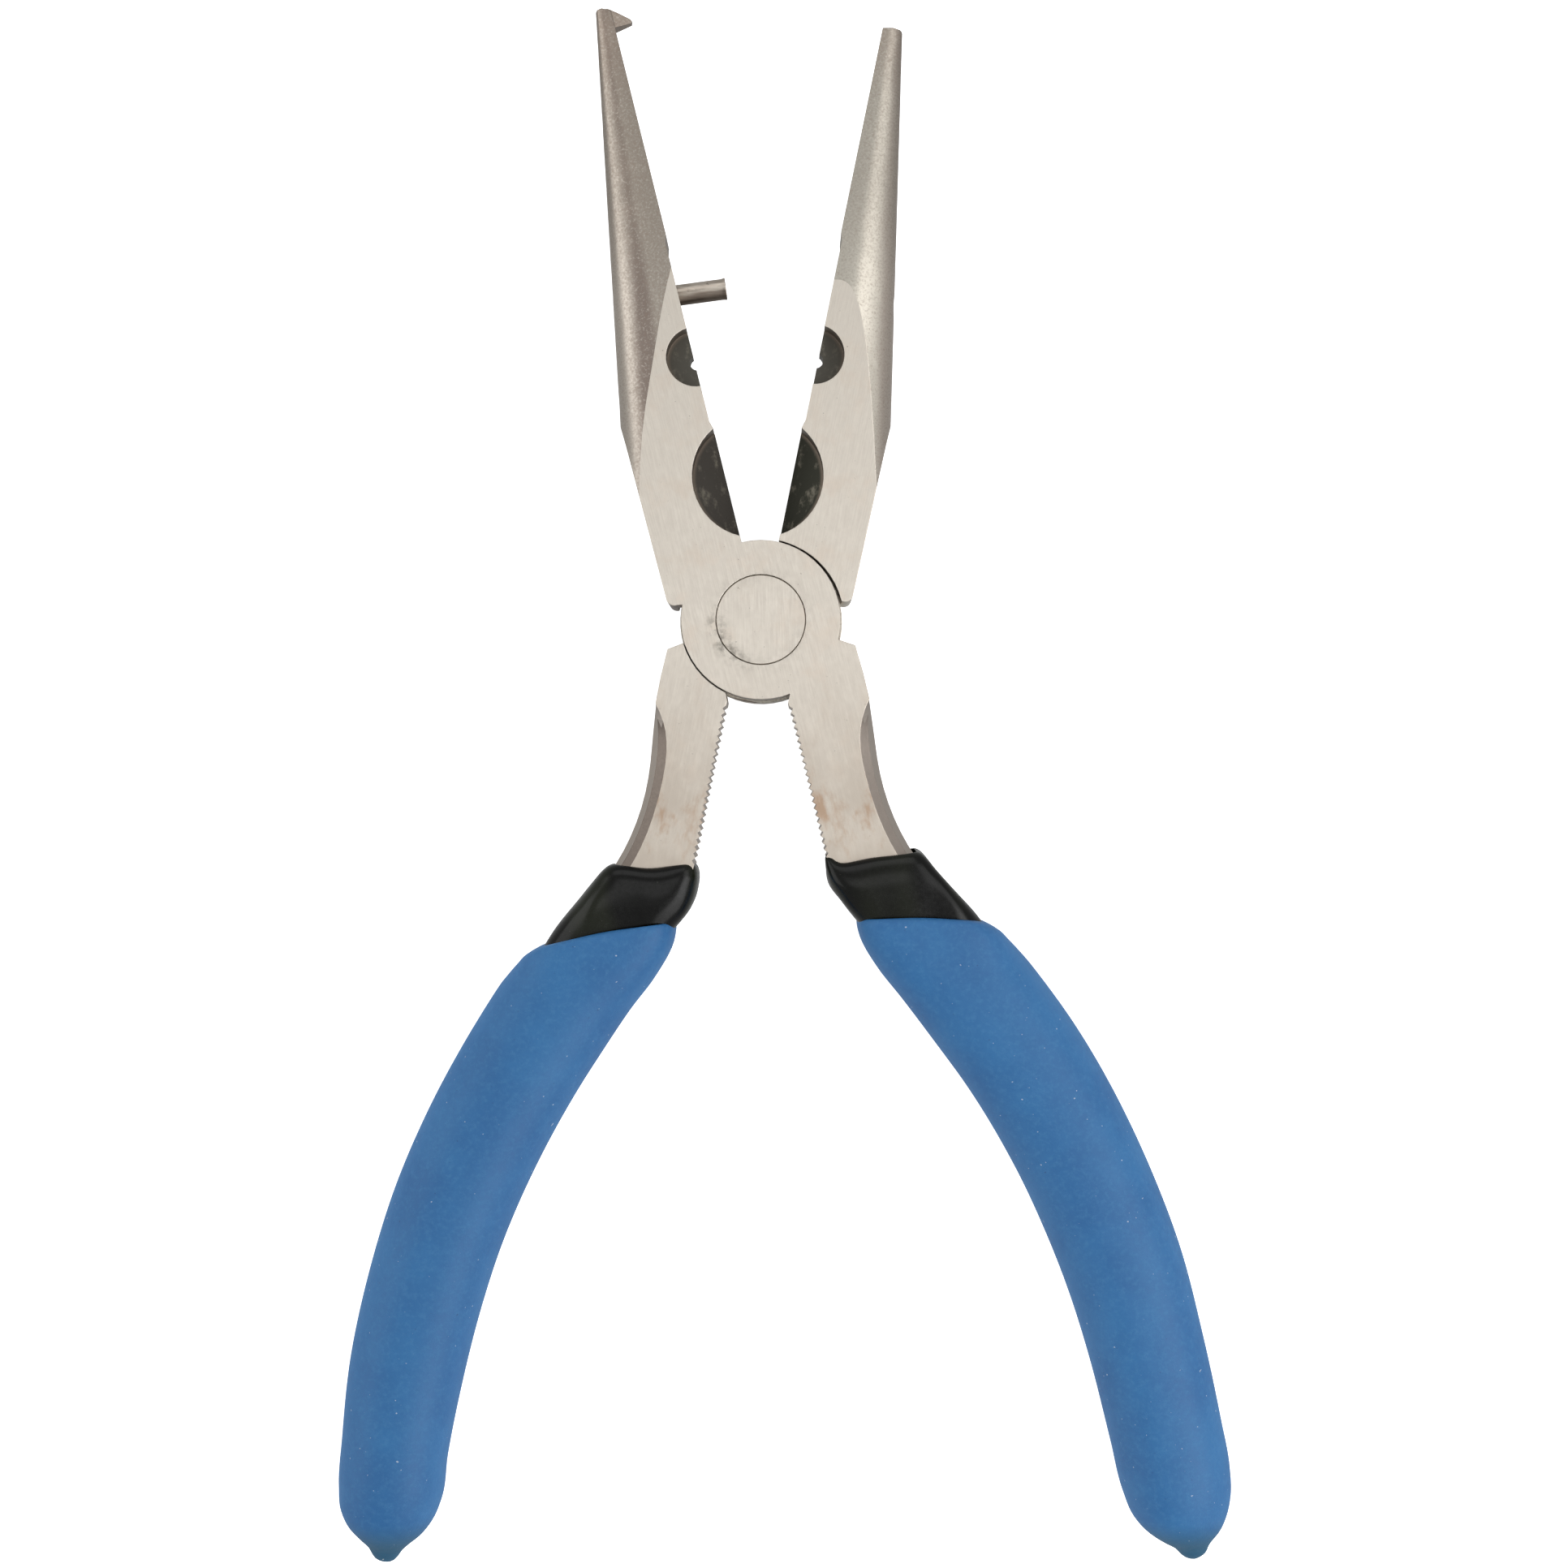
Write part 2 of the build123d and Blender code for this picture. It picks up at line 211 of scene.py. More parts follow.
# Satin nose of each lever, with light and shade painted on it in three lengthwise bands from its outer edge
# to its inner one, the shares of the nose's width where they meet, the first one's limit in mm, the colour
# the nose turns to towards its tip, the painted light (tooth lever) and painted shade (socket lever) of the
# tang's bevel, and the finish of the cutter's recess.
SATIN_AND_PAINTED_LIGHT = {
    "tooth_half": {
        "tip_width": 2.0,
        "taper": 0.183,
        "light_and_shade_bands": (srgb(198, 189, 178), srgb(130, 119, 111), srgb(160, 152, 142)),
        "tip": srgb(150, 140, 129),
        "shares": (0.35, 0.57),
        "limit": 2.05,
        "bevel": srgb(170, 159, 150),
        "cutter": srgb(84, 80, 75),
    },
    "socket_half": {
        "tip_width": 2.2,
        "taper": 0.171,
        "light_and_shade_bands": (srgb(200, 189, 178), srgb(224, 217, 204), srgb(191, 186, 175)),
        "tip": srgb(160, 153, 143),
        "shares": (0.27, 0.6),
        "limit": 1.5,
        "bevel": srgb(126, 116, 108),
        "cutter": srgb(62, 62, 55),
    },
}


def brushed(paint, plan):
    """Fine broken lines of grinding along the tool."""
    lines = paint.noise(paint.place(start=plan, scale=(8.0, 0.3, 1.0)), 1.0, 5.0, 0.6)
    breaks = paint.noise(paint.place(start=plan, scale=(2.2, 1.1, 1.0)), 1.0, 6.0, 0.7)
    return paint.blend(0.4, lines, breaks)


def rivet_stain(paint, where, plan):
    """Dark smudge that has crept out of the rivet's ring, mostly at its lower left."""
    ring = paint.math("ABSOLUTE", paint.math("SUBTRACT", paint.distance(where, 0, 0), RIVET_RADIUS))
    near = paint.ramp(ring, 0.1, 1.5, 1.0, 0.0)
    corner = paint.ramp(paint.distance(where, *STAIN_AT), 1.2, 4.4, 1.0, 0.16)
    blots = paint.ramp(paint.noise(plan, 0.9, 5.0, 0.6), 0.4, 0.68)
    return paint.product(near, corner, blots)


def ground_steel(paint, where, plan, brush):
    """Ground face: brushing lines, a few specks, and the smudge round the rivet."""
    lines = paint.ramp(brush, 0.32, 0.68, 0.0, 0.55)
    colour = paint.mix(lines, GROUND, GROUND_LINE)
    warm = paint.ramp(paint.noise(plan, 0.3, 4.0, 0.6), 0.48, 0.72, 0.0, 0.35)
    colour = paint.mix(warm, colour, GROUND_WARM)
    specks = paint.ramp(paint.noise(plan, 2.1, 3.0, 0.6), 0.69, 0.76, 0.0, 0.55)
    colour = paint.mix(specks, colour, STAIN)
    return paint.mix(paint.product(rivet_stain(paint, where, plan), 0.75), colour, STAIN)


def satin_nose_painted_light(paint, x, y, satin_and_painted_light, grain):
    """Satin nose, with light and shade painted on in lengthwise bands where its forged flats and hollow face
    towards and away from the light.
    """
    past = paint.math("SUBTRACT", TAPER_FROM_Y, y)
    width = paint.math("ADD", paint.product(past, satin_and_painted_light["taper"]), satin_and_painted_light["tip_width"])
    edge = paint.math("SUBTRACT", width, x)
    edge = paint.math("ADD", edge, paint.ramp(paint.noise(paint.place(), 0.3, 3.0), 0.2, 0.8, -0.12, 0.12))
    first = paint.math("MINIMUM", paint.product(width, satin_and_painted_light["shares"][0]), satin_and_painted_light["limit"])
    second = paint.product(width, satin_and_painted_light["shares"][1])
    # Painted light and shade: one band lit and one shaded on each nose, as the two jaws face the lights.
    outer, middle, inner = satin_and_painted_light["light_and_shade_bands"]
    colour = paint.mix(paint.ramp(paint.math("DIVIDE", edge, first), 0.6, 1.4), outer, middle)
    colour = paint.mix(paint.ramp(paint.math("DIVIDE", edge, second), 0.84, 1.12), colour, inner)
    colour = paint.mix(paint.ramp(y, 33.0, 46.0, 0.0, 0.5), colour, satin_and_painted_light["tip"])
    colour = paint.mix(paint.ramp(y, 52.0, 61.0, 0.0, 0.35), colour, SATIN_BROWN)
    colour = paint.mix(paint.ramp(grain, 0.5, 0.3, 0.0, 0.3), colour, GROUND)
    return paint.mix(paint.ramp(grain, 0.46, 0.68, 0.0, 0.45), colour, SATIN_BROWN)


def recess_steel(paint, plan, cutter, crimper, cutter_floor):
    """Floor of a cutter or crimper recess: dark and scuffed, with a browned rim."""
    floor = paint.mix(paint.math("GREATER_THAN", crimper, 2 * CRIMPER_RADIUS), RECESS, cutter_floor)
    scuffs = paint.ramp(paint.noise(paint.place(start=plan, scale=(1.3, 0.8, 1)), 0.8, 6.0, 0.68), 0.52, 0.72)
    colour = paint.mix(paint.product(scuffs, 0.55), floor, RECESS_SCUFF)
    inward = paint.math(
        "MINIMUM",
        paint.math("ABSOLUTE", paint.math("SUBTRACT", cutter, CUTTER_RADIUS)),
        paint.math("ABSOLUTE", paint.math("SUBTRACT", crimper, CRIMPER_RADIUS)),
    )
    return paint.mix(paint.ramp(inward, 0.05, 0.45, 0.7, 0.0), colour, RECESS_RIM)


def lever_steel(name, body):
    """Steel of a lever: ground cheeks, satin nose and tang bevels with painted light and shade, dark blasted
    recesses.
    """
    paint = Paint(name, metallic=1.0)
    where = paint.place()
    plan = paint.place(half_opening, (LEVER_SIDE[body], 1.0, 1.0))
    x, y, z = paint.axes(plan)
    height = paint.math("ABSOLUTE", paint.math("SUBTRACT", z, mid_height / MM))
    upward = paint.upward()
    cheek = paint.product(
        paint.math("GREATER_THAN", height, CHEEK_HEIGHT), paint.math("GREATER_THAN", upward, FACES_UP)
    )
    below = paint.math("LESS_THAN", height, CHEEK_HEIGHT)
    cutter = paint.distance(plan, *CUTTER_AT)
    crimper = paint.distance(plan, *CRIMPER_AT)
    in_cutter = paint.math("LESS_THAN", cutter, CUTTER_RADIUS + RECESS_MARGIN)
    in_crimper = paint.math("LESS_THAN", crimper, CRIMPER_RADIUS + RECESS_MARGIN)
    recess = paint.product(paint.math("MAXIMUM", in_cutter, in_crimper), below)
    tang = paint.math("LESS_THAN", y, TANG_BELOW_Y)

    brush = brushed(paint, plan)
    grain = paint.noise(plan, 4.5, 6.0, 0.7)
    ground = ground_steel(paint, where, plan, brush)
    tarnish = paint.ramp(paint.noise(plan, 0.25, 4.0), 0.3, 0.6, 0.55, 0.95)
    ground = paint.mix(paint.product(tarnish, paint.ramp(y, -2.0, -22.0)), ground, TARNISH)
    rust_zone = paint.ramp(y, -11.0, -19.0)
    stretched = paint.place(start=plan, scale=(1, 0.5, 1))
    rust_blots = paint.ramp(paint.noise(stretched, 0.42, 5.0, 0.62), 0.5, 0.72)
    ground = paint.mix(paint.product(rust_zone, rust_blots, 0.7), ground, RUST)

    # Painted light and shade: bands along the nose, and the tang's bevel lit on the tooth lever and shaded on
    # the socket lever.
    satin_and_painted_light = satin_nose_painted_light(paint, x, y, SATIN_AND_PAINTED_LIGHT[body], grain)
    bevel = paint.mix(paint.ramp(upward, 0.62, 0.72), BEVEL_RIM, SATIN_AND_PAINTED_LIGHT[body]["bevel"])
    satin_and_painted_light = paint.mix(tang, satin_and_painted_light, bevel)
    colour = paint.mix(cheek, satin_and_painted_light, ground)
    colour = paint.mix(recess, colour, recess_steel(paint, plan, cutter, crimper, SATIN_AND_PAINTED_LIGHT[body]["cutter"]))
    paint.set("Base Color", colour)

    ground_rough = paint.ramp(brush, 0.25, 0.75, 0.30, 0.44)
    satin_rough = paint.ramp(grain, 0.3, 0.7, 0.36, 0.52)
    rough = paint.blend(cheek, satin_rough, ground_rough)
    paint.set("Roughness", paint.blend(recess, rough, 0.5))
    relief = paint.blend(cheek, grain, brush)
    paint.bump(relief, 0.22, 0.02, EDGE_RADIUS)
    return paint.material


def rivet_steel():
    """The rivet's head, ground flush with the cheeks in one pass."""
    paint = Paint("rivet_steel", metallic=1.0)
    where = paint.place()
    brush = brushed(paint, where)
    paint.set("Base Color", ground_steel(paint, where, where, brush))
    paint.set("Roughness", paint.ramp(brush, 0.25, 0.75, 0.3, 0.42))
    paint.bump(brush, 0.22, 0.02)
    return paint.material


PIN_BROWN_AND_SHADE = srgb(104, 92, 82)


def pin_steel():
    """Wire of the pin, with painted shade on its side towards the grips, brown spots and drawing lines along
    it.
    """
    paint = Paint("pin_steel", metallic=1.0)
    along = paint.place(scale=(0.3, 2.4, 2.4))
    lines = paint.noise(along, 1.6, 5.0, 0.6)
    colour = paint.mix(paint.ramp(lines, 0.3, 0.7), srgb(178, 164, 151), srgb(226, 217, 204))
    normal = paint.node("ShaderNodeNewGeometry", {}).outputs["True Normal"]
    # Painted shade on the side of the wire that faces the grips.
    colour = paint.mix(paint.ramp(paint.axes(normal)[1], 0.25, -0.55, 0.0, 0.9), colour, PIN_BROWN_AND_SHADE)
    spots = paint.ramp(paint.noise(paint.place(), 2.2, 5.0, 0.7), 0.58, 0.72, 0.0, 0.6)
    paint.set("Base Color", paint.mix(spots, colour, PIN_BROWN_AND_SHADE))
    paint.set("Roughness", paint.ramp(lines, 0.3, 0.7, 0.34, 0.5))
    paint.bump(lines, 0.25, 0.02)
    return paint.material


def sleeve_vinyl():
    """Glossy black dipped vinyl, with slow dips in its skin and a little dust."""
    paint = Paint("sleeve_vinyl")
    paint.set("Specular IOR Level", 0.26)
    where = paint.place()
    slow = paint.noise(paint.place(scale=(0.26, 0.06, 0.26)), 1.0, 0.0)
    fine = paint.noise(where, 2.6, 4.0, 0.6)
    dust = paint.ramp(paint.noise(where, 3.2, 2.0), 0.74, 0.8, 0.0, 0.3)
    black = paint.mix(paint.ramp(slow, 0.4, 0.65), srgb(8, 8, 7), srgb(26, 28, 20))
    paint.set("Base Color", paint.mix(dust, black, srgb(130, 128, 122)))
    paint.set("Roughness", paint.ramp(fine, 0.3, 0.75, 0.2, 0.3))
    paint.bump(slow, 0.5, 1.4)
    return paint.material


GRIP_BLUE = srgb(36, 101, 154)
GRIP_DEEP = srgb(28, 90, 144)
GRIP_PALE = srgb(68, 123, 168)
GRIP_DRIP = srgb(24, 76, 100)


def grip_vinyl(name, tip_y):
    """Satin blue dipped vinyl: cloudy, finely pebbled, specked with dust and darker in its last drip."""
    paint = Paint(name)
    where = paint.place()
    plan_y = paint.axes(where)[1]
    cloud = paint.noise(where, 0.14, 4.0, 0.6)
    mottle = paint.noise(where, 1.9, 6.0, 0.7)
    pebble = paint.noise(where, 3.5, 4.0, 0.65)
    colour = paint.mix(paint.ramp(cloud, 0.3, 0.74), GRIP_BLUE, GRIP_DEEP)
    colour = paint.mix(paint.ramp(mottle, 0.42, 0.72, 0.0, 0.34), colour, GRIP_PALE)
    colour = paint.mix(paint.ramp(pebble, 0.5, 0.75, 0.0, 0.35), colour, GRIP_DEEP)
    drip = paint.ramp(plan_y, tip_y + 5.0, tip_y + 1.4)
    colour = paint.mix(paint.product(drip, 0.85), colour, GRIP_DRIP)
    light_dust = paint.ramp(paint.noise(where, 2.3, 1.0), 0.765, 0.8, 0.0, 0.55)
    shifted = paint.place(start=where, scale=(1.3, 1.3, 1.3))
    dark_dust = paint.ramp(paint.noise(shifted, 1.9, 1.0), 0.785, 0.82, 0.0, 0.5)
    colour = paint.mix(light_dust, colour, srgb(190, 200, 210))
    colour = paint.mix(dark_dust, colour, srgb(30, 50, 90))
    paint.set("Base Color", colour)
    paint.set("Roughness", paint.ramp(mottle, 0.3, 0.7, 0.5, 0.64))
    paint.bump(paint.math("ADD", pebble, paint.product(mottle, 1.2)), 0.35, 0.05)
    return paint.material


# ---- Coats ----

RING_POINTS = 112
RING_SPACING = 0.45
LIP_STEPS = 9
WAVE_FADE = 3.0


def smooth_rows(rows, spacing):
    """Rows of numbers joined by cubic curves, spaced by the mean distance between their two end points."""
    rows = np.array(rows, float)
    middles = (rows[:, 0:2] + rows[:, 2:4]) / 2
    gaps = np.maximum(np.hypot(*np.diff(middles, axis=0).T), 0.1)
    slopes = np.diff(rows, axis=0) / gaps[:, None]
    tangents = np.empty_like(rows)
    tangents[0] = slopes[0]
    tangents[-1] = slopes[-1]
    before, after = gaps[:-1, None], gaps[1:, None]
    tangents[1:-1] = (slopes[:-1] * after + slopes[1:] * before) / (before + after)
    smooth = []
    for index, gap in enumerate(gaps):
        steps = max(2, int(round(gap / spacing)))
        last = index == len(gaps) - 1
        for share in np.linspace(0, 1, steps + 1)[: None if last else -1]:
            s2, s3 = share**2, share**3
            smooth.append(
                (2 * s3 - 3 * s2 + 1) * rows[index]
                + (s3 - 2 * s2 + share) * gap * tangents[index]
                + (3 * s2 - 2 * s3) * rows[index + 1]
                + (s3 - s2) * gap * tangents[index + 1]
            )
    return np.array(smooth)


def link_mesh(name, vertices, faces):
    mesh = bpy.data.meshes.new(name)
    mesh.from_pydata([tuple(vertex) for vertex in vertices], [], faces)
    mesh.shade_smooth()
    piece = bpy.data.objects.new(name, mesh)
    bpy.context.scene.collection.objects.link(piece)
    return piece


def tube_faces(rings, points):
    """Faces of a tube of rings, closed at both ends by fans to two last vertices."""
    faces = []
    for point in range(points):
        after = (point + 1) % points
        for ring in range(rings - 1):
            here, there = ring * points, (ring + 1) * points
            faces.append((here + point, here + after, there + after, there + point))
        last = (rings - 1) * points
        faces.append((rings * points, after, point))
        faces.append((rings * points + 1, last + point, last + after))
    return faces


def coat_mesh(name, body, rows, lip_walls, lip_length, wave):
    """A dipped coat: rounded sections along the tang, a rolled lip at its mouth and a closed end.

    A row is a section's outer end x and y, its inner end x and y, its height and its squareness.
    lip_walls are the coat's thickness at its mouth, on the inner and the outer side.
    """
    sections = smooth_rows(rows, RING_SPACING)
    middles = (sections[:, 0:2] + sections[:, 2:4]) / 2
    reach = np.concatenate([[0], np.cumsum(np.hypot(*np.diff(middles, axis=0).T))])
    angles = np.linspace(0, 2 * pi, RING_POINTS, endpoint=False)
    c, s = np.cos(angles), np.sin(angles)
    inner_wall, outer_wall = lip_walls
    wall = inner_wall + (outer_wall - inner_wall) * (1 - c) / 2
    rings = [(2.5 * lip_length, 1.6), (lip_length, 1.3), (0.25 * lip_length, 1.05)]
    rings += [(lip_length * (1 - cos(t)), 1 - sin(t)) for t in np.linspace(0, pi / 2, LIP_STEPS)]
    rings += [(far, 0.0) for far in reach if far > 1.05 * lip_length]
    points = []
    for far, inset in rings:
        outer_x, outer_y, inner_x, inner_y, height, square = (
            np.interp(far, reach, column) for column in sections.T
        )
        middle = np.array([outer_x + inner_x, outer_y + inner_y]) / 2
        across = np.array([inner_x - outer_x, inner_y - outer_y]) / 2
        half_width = np.hypot(*across)
        across = across / half_width
        forward = np.array([-across[1], across[0]])
        radius = (np.abs(c / half_width) ** square + np.abs(s / (height / 2)) ** square) ** (-1 / square)
        radius = radius - np.minimum(inset * wall, 0.6 * radius)
        ring = np.empty((RING_POINTS, 3))
        ahead = wave(angles) * np.exp(-((far / WAVE_FADE) ** 2))
        ring[:, :2] = middle + np.outer(radius * c, across) + np.outer(ahead, forward)
        ring[:, 2] = radius * s
        points.append(ring)
    points = np.array(points)
    ends = points[[0, -1]].mean(axis=1)
    vertices = np.vstack([to_frame(body, points).reshape(-1, 3), to_frame(body, ends)])
    faces = tube_faces(len(points), RING_POINTS)
    if LEVER_SIDE[body] < 0:
        faces = [face[::-1] for face in faces]
    return link_mesh(name, vertices, faces)


def place_piece(piece, body, node, material):
    """Puts a finished piece on its body in place of a node of the model."""
    piece.data.materials.append(material)
    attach(piece, body)
    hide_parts(node)
    return piece


# Sections of each coat from its mouth to its end, as coat_mesh reads them. The sleeves are square enough at
# their mouths to cover the tangs' corners.
LEFT_GRIP = [
    (-15.2, -36.3, -2.35, -31.2, 11.8, 4.6),
    (-16.3, -37.2, -2.25, -33.3, 11.9, 4.0),
    (-17.2, -38.5, -3.35, -37.0, 12.0, 3.1),
    (-17.95, -39.8, -5.2, -40.85, 12.0, 2.55),
    (-18.6, -41.1, -7.35, -46.1, 12.0, 2.4),
    (-20.8, -47.0, -9.4, -51.6, 12.0, 2.3),
    (-23.2, -55.0, -11.6, -59.0, 12.0, 2.25),
    (-24.85, -63.0, -13.1, -66.0, 12.0, 2.25),
    (-25.7, -71.5, -13.95, -73.0, 11.8, 2.25),
    (-25.85, -80.3, -14.35, -80.6, 11.4, 2.25),
    (-25.1, -88.5, -14.35, -88.6, 11.0, 2.2),
    (-24.45, -93.4, -14.1, -92.9, 10.4, 2.2),
    (-23.75, -95.8, -14.6, -95.2, 9.2, 2.15),
    (-22.6, -97.35, -15.45, -96.8, 7.3, 2.1),
    (-21.2, -98.4, -16.45, -98.0, 5.0, 2.0),
    (-20.4, -98.95, -16.95, -98.7, 3.5, 2.0),
    (-20.05, -99.35, -17.15, -99.15, 2.9, 2.0),
    (-19.7, -99.75, -17.4, -99.6, 2.3, 2.0),
    (-19.2, -100.05, -17.8, -99.98, 1.4, 2.0),
    (-18.7, -100.15, -18.2, -100.13, 0.5, 2.0),
]
RIGHT_GRIP = [
    (-14.35, -34.45, -2.1, -31.3, 11.8, 4.6),
    (-15.6, -35.5, -2.1, -33.2, 11.9, 4.0),
    (-16.6, -37.0, -3.1, -36.6, 12.0, 3.1),
    (-17.4, -38.4, -4.7, -40.1, 12.0, 2.55),
    (-18.3, -40.2, -6.85, -45.1, 12.0, 2.4),
    (-20.7, -46.0, -9.2, -50.9, 12.0, 2.3),
    (-23.3, -54.6, -11.7, -59.2, 12.0, 2.25),
    (-24.95, -62.8, -13.05, -65.8, 12.0, 2.25),
    (-25.95, -71.2, -14.0, -72.8, 11.8, 2.25),
    (-26.05, -79.8, -14.45, -80.2, 11.5, 2.25),
    (-25.8, -88.6, -14.5, -88.6, 11.2, 2.2),
    (-25.5, -93.6, -14.5, -93.6, 10.8, 2.2),
    (-24.95, -96.3, -14.95, -96.3, 9.8, 2.15),
    (-24.05, -98.3, -16.0, -98.2, 8.0, 2.1),
    (-22.95, -99.75, -17.3, -99.6, 5.8, 2.0),
    (-21.9, -100.6, -18.2, -100.4, 3.8, 2.0),
    (-21.5, -101.05, -18.5, -100.9, 3.0, 2.0),
    (-21.15, -101.5, -18.85, -101.4, 2.4, 2.0),
    (-20.6, -101.8, -19.3, -101.75, 1.3, 2.0),
    (-20.2, -101.93, -19.7, -101.92, 0.5, 2.0),
]
LEFT_SLEEVE = [
    (-9.9, -26.9, -1.5, -25.1, 10.0, 6.0),
    (-10.5, -27.6, -1.1, -26.0, 10.9, 5.2),
    (-11.2, -28.7, -0.93, -27.6, 11.2, 4.5),
    (-12.4, -30.9, -1.25, -29.6, 11.0, 4.5),
    (-13.9, -33.7, -2.45, -32.0, 10.2, 4.4),
    (-15.0, -36.4, -4.3, -35.5, 9.6, 4.0),
    (-16.3, -39.6, -6.0, -40.0, 8.6, 4.0),
]
RIGHT_SLEEVE = [
    (-9.9, -25.9, -0.5, -25.4, 10.0, 8.5),
    (-10.4, -26.8, -0.33, -26.1, 10.8, 8.2),
    (-10.9, -27.9, -0.3, -27.1, 11.2, 7.4),
    (-12.2, -30.4, -1.05, -29.0, 11.0, 6.2),
    (-13.8, -33.3, -2.3, -31.7, 10.3, 5.2),
    (-14.7, -35.4, -4.0, -34.8, 9.6, 4.0),
    (-16.0, -38.6, -5.7, -39.4, 8.6, 4.0),
]


def grip_wave(angles):
    """The grip's mouth stands further up the top and bottom than at the sides."""
    return 0.45 * np.sin(angles) ** 2


def left_sleeve_wave(angles):
    """Wavy lip of the left sleeve."""
    return 0.1 * np.cos(2 * angles) + 0.12 * np.sin(3 * angles) + 0.06 * np.cos(5 * angles + 1)


def right_sleeve_wave(angles):
    """Wavy lip of the right sleeve, with a tongue that has run up the tang's serrated corner."""
    tongue = 1.3 * np.exp(-(((angles - 0.72) / 0.16) ** 2))
    return 0.1 * np.sin(2 * angles) + 0.08 * np.cos(4 * angles) + tongue


# ---- The pin ----

PIN_RADIUS = 1.05
PIN_Y = 33.9
PIN_REACH = 4.6
PIN_BURIED = 4.0
PIN_TILT = radians(6.1)
PIN_POINTS = 48


def pin_mesh(name):
    """The jaw's pin: a cropped wire with a slight burr round its end."""
    profile = [(-PIN_BURIED, PIN_RADIUS), (0.0, PIN_RADIUS)]
    profile += [(along, PIN_RADIUS) for along in np.linspace(0.3, PIN_REACH - 0.5, 10)]
    profile += [
        (PIN_REACH - 0.28, PIN_RADIUS + 0.015),
        (PIN_REACH - 0.1, PIN_RADIUS + 0.055),
        (PIN_REACH - 0.02, PIN_RADIUS + 0.05),
        (PIN_REACH, PIN_RADIUS - 0.02),
        (PIN_REACH - 0.03, PIN_RADIUS - 0.2),
        (PIN_REACH - 0.05, 0.5 * PIN_RADIUS),
    ]
    angles = np.linspace(0, 2 * pi, PIN_POINTS, endpoint=False)
    rough = np.random.default_rng(4).normal(0, 1, PIN_POINTS)
    rough = (rough + np.roll(rough, 1) + np.roll(rough, -1)) / 3
    points = []
    for along, radius in profile:
        burr = 0.03 * rough * np.exp(-(((along - PIN_REACH) / 0.25) ** 2))
        across = (radius + burr) * np.cos(angles)
        up = (radius + burr) * np.sin(angles)
        x = -along * cos(PIN_TILT) + across * sin(PIN_TILT)
        y = PIN_Y - along * sin(PIN_TILT) - across * cos(PIN_TILT)
        points.append(np.stack([x, y, up], axis=1))
    points = np.array(points)
    ends = points[[0, -1]].mean(axis=1)
    vertices = np.vstack([to_frame("tooth_half", points).reshape(-1, 3), to_frame("tooth_half", ends)])
    return link_mesh(name, vertices, tube_faces(len(points), PIN_POINTS))


# ---- Building the object ----

for node, material in (
    ("socket_lever", lever_steel("socket_lever_steel", "socket_half")),
    ("tooth_lever", lever_steel("tooth_lever_steel", "tooth_half")),
    ("pivot_rivet", rivet_steel()),
):
    shown = frame["nodes"][node]
    shown.data.materials.clear()
    shown.data.materials.append(material)

vinyl = sleeve_vinyl()
left_blue = grip_vinyl("left_grip_vinyl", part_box("left_grip")[0].y / MM)
right_blue = grip_vinyl("right_grip_vinyl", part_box("right_grip")[0].y / MM)
left_sleeve = coat_mesh("left_sleeve_skin", "socket_half", LEFT_SLEEVE, (0.35, 0.4), 0.5, left_sleeve_wave)
place_piece(left_sleeve, "socket_half", "left_inner_sleeve", vinyl)
right_sleeve = coat_mesh("right_sleeve_skin", "tooth_half", RIGHT_SLEEVE, (0.3, 0.4), 0.5, right_sleeve_wave)
place_piece(right_sleeve, "tooth_half", "right_inner_sleeve", vinyl)
left_grip = coat_mesh("left_grip_skin", "socket_half", LEFT_GRIP, (0.25, 0.7), 0.7, grip_wave)
place_piece(left_grip, "socket_half", "left_grip", left_blue)
right_grip = coat_mesh("right_grip_skin", "tooth_half", RIGHT_GRIP, (0.25, 0.7), 0.7, grip_wave)
place_piece(right_grip, "tooth_half", "right_grip", right_blue)
pin = pin_mesh("jaw_pin_wire")
place_piece(pin, "tooth_half", "jaw_pin", pin_steel())

# ---- Floor, light and camera ----

FLOOR_SIZE = 3.0
FLOOR_GLOW = 0.9
WORLD_STRENGTH = 0.42
CAMERA_HEIGHT = 0.29
CAMERA_AT = (0.00196, -0.01634)
CAMERA_TURN = radians(-1.2)
VIEW_WIDTH = 0.15784

# Name, azimuth from +Y towards +X and elevation in degrees, distance, width and height in metres, radiance.
SOFTBOXES = [
    ("overhead", 0, 90, 1.2, 0.45, 0.45, 1.0),
    ("left_key", -90, 30, 1.0, 1.2, 0.8, 1.3),
    ("right_fill", 90, 50, 1.0, 1.2, 0.55, 1.3),
    ("right_near", 128, 40, 0.36, 0.34, 0.26, 1.9),
    ("far_fill", 0, 42, 1.0, 0.8, 0.5, 1.0),
]


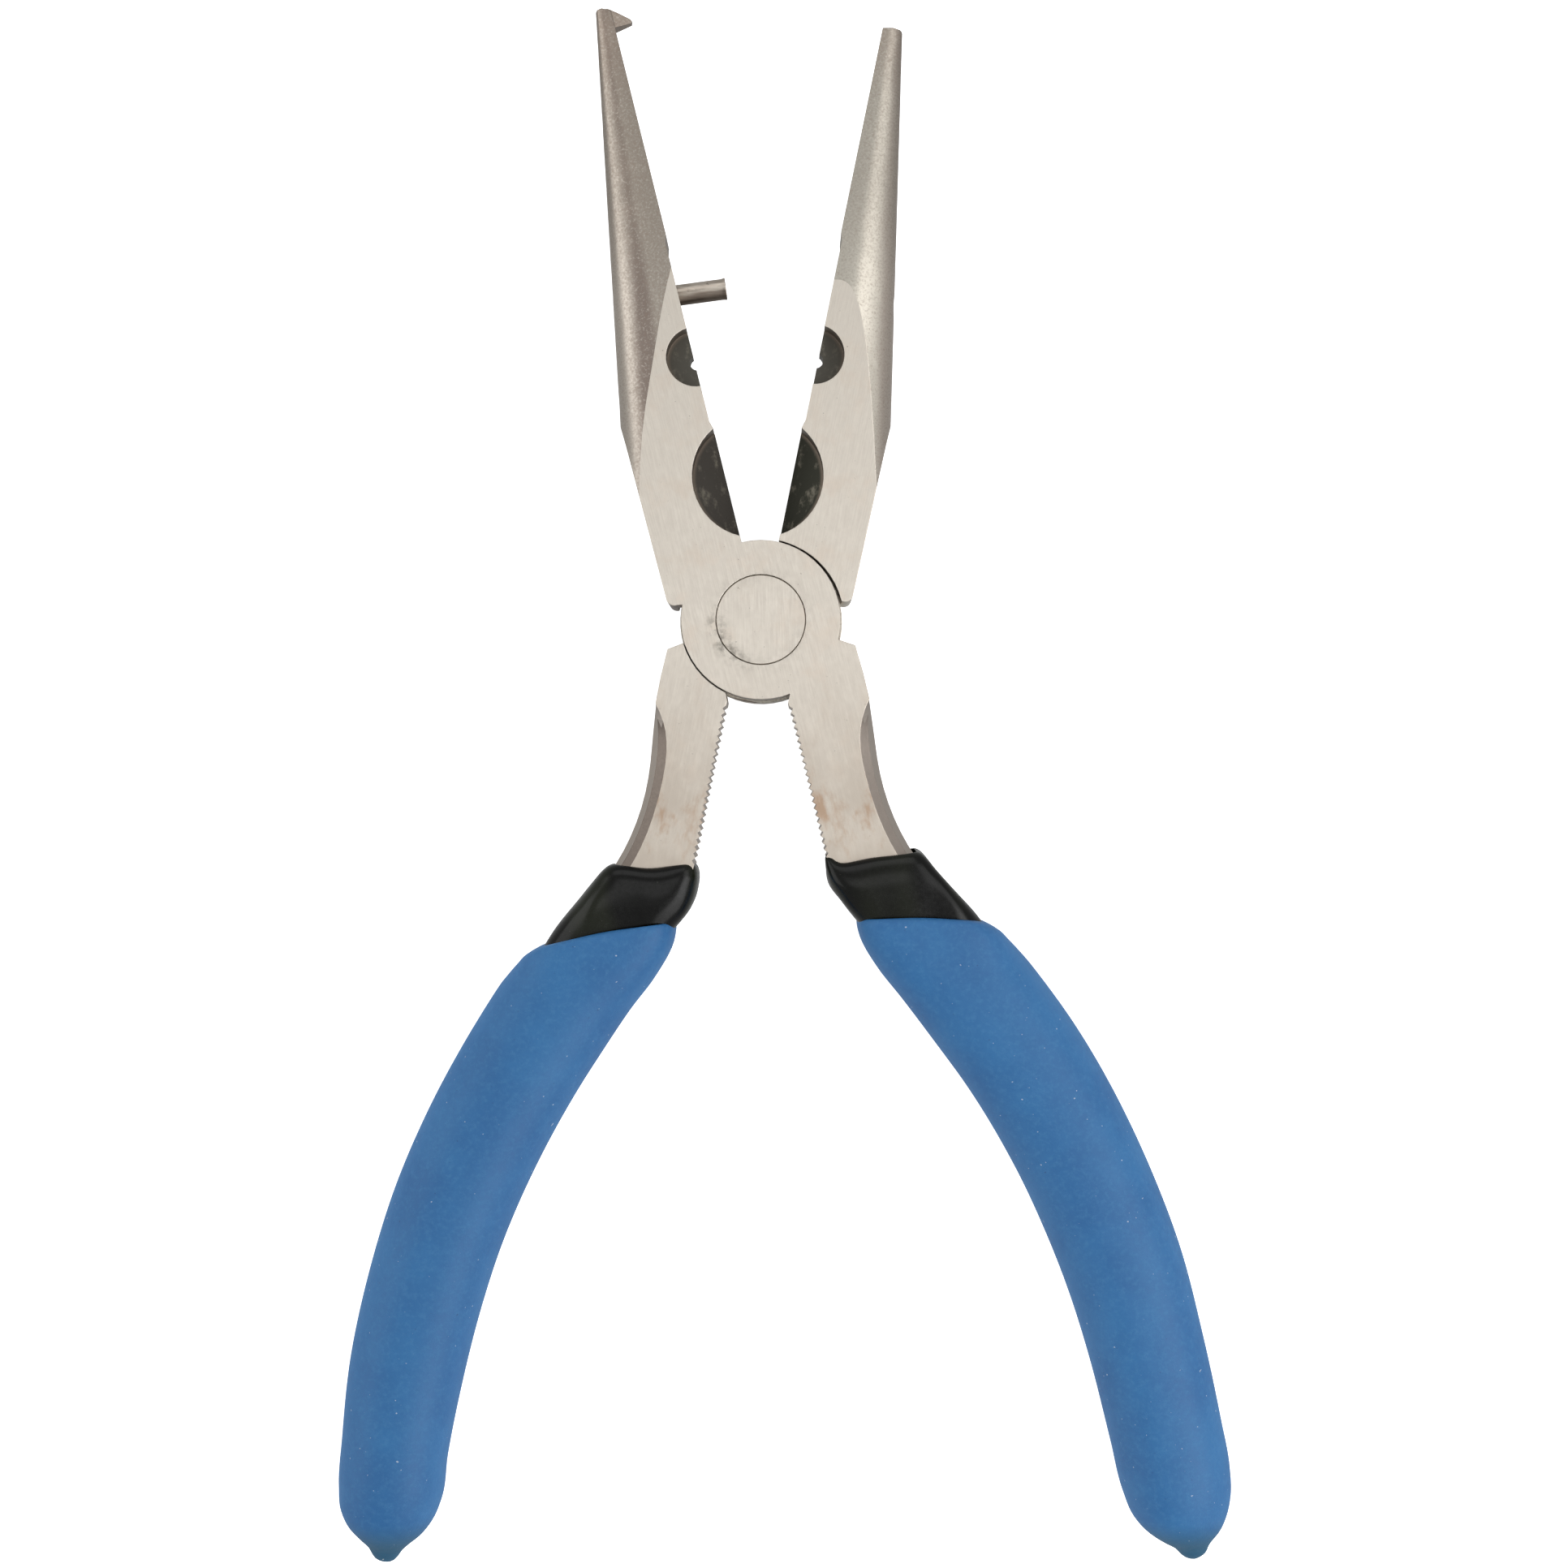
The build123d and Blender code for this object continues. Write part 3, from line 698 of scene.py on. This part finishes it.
def add_floor():
    """Plain white floor under the pliers."""
    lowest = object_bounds()[0][2]
    corner = FLOOR_SIZE / 2
    mesh = bpy.data.meshes.new("floor")
    corners = [(-corner, -corner), (corner, -corner), (corner, corner), (-corner, corner)]
    mesh.from_pydata([(x, y, lowest) for x, y in corners], [], [(0, 1, 2, 3)])
    floor = bpy.data.objects.new("floor", mesh)
    bpy.context.scene.collection.objects.link(floor)
    paint = Paint("floor_white", roughness=0.7, base_color=(0.8, 0.8, 0.8, 1.0))
    paint.set("Emission Color", (1.0, 1.0, 1.0, 1.0))
    paint.set("Emission Strength", FLOOR_GLOW)
    mesh.materials.append(paint.material)
    floor.visible_glossy = False


def add_softbox(name, azimuth, elevation, distance, width, height, radiance):
    """An area light that faces the pivot, placed by its direction, with an even surface brightness."""
    data = bpy.data.lights.new(name, "AREA")
    data.shape = "RECTANGLE"
    data.size, data.size_y = width, height
    data.energy = radiance * width * height * pi
    light = bpy.data.objects.new(name, data)
    flat = distance * cos(radians(elevation))
    light.location = (
        flat * sin(radians(azimuth)),
        flat * cos(radians(azimuth)),
        distance * sin(radians(elevation)),
    )
    light.rotation_euler = (radians(90 - elevation), 0, radians(180 - azimuth))
    light.visible_camera = False
    bpy.context.scene.collection.objects.link(light)


def add_world(strength):
    """Even, very faintly cool light from all round."""
    world = bpy.data.worlds.new("studio")
    world.use_nodes = True
    background = world.node_tree.nodes["Background"]
    background.inputs["Color"].default_value = (0.99, 1.0, 1.0, 1.0)
    background.inputs["Strength"].default_value = strength
    bpy.context.scene.world = world


def add_camera():
    """Camera over the pliers, looking straight down as in the photo."""
    data = bpy.data.cameras.new("camera")
    data.angle = 2 * atan(VIEW_WIDTH / 2 / CAMERA_HEIGHT)
    data.clip_start = 0.01
    camera = bpy.data.objects.new("camera", data)
    camera.location = (*CAMERA_AT, mid_height + CAMERA_HEIGHT)
    camera.rotation_euler = (0, 0, CAMERA_TURN)
    bpy.context.scene.collection.objects.link(camera)
    bpy.context.scene.camera = camera


add_floor()
add_world(WORLD_STRENGTH)
for softbox in SOFTBOXES:
    add_softbox(*softbox)
add_camera()
bpy.context.scene.view_settings.view_transform = "Standard"
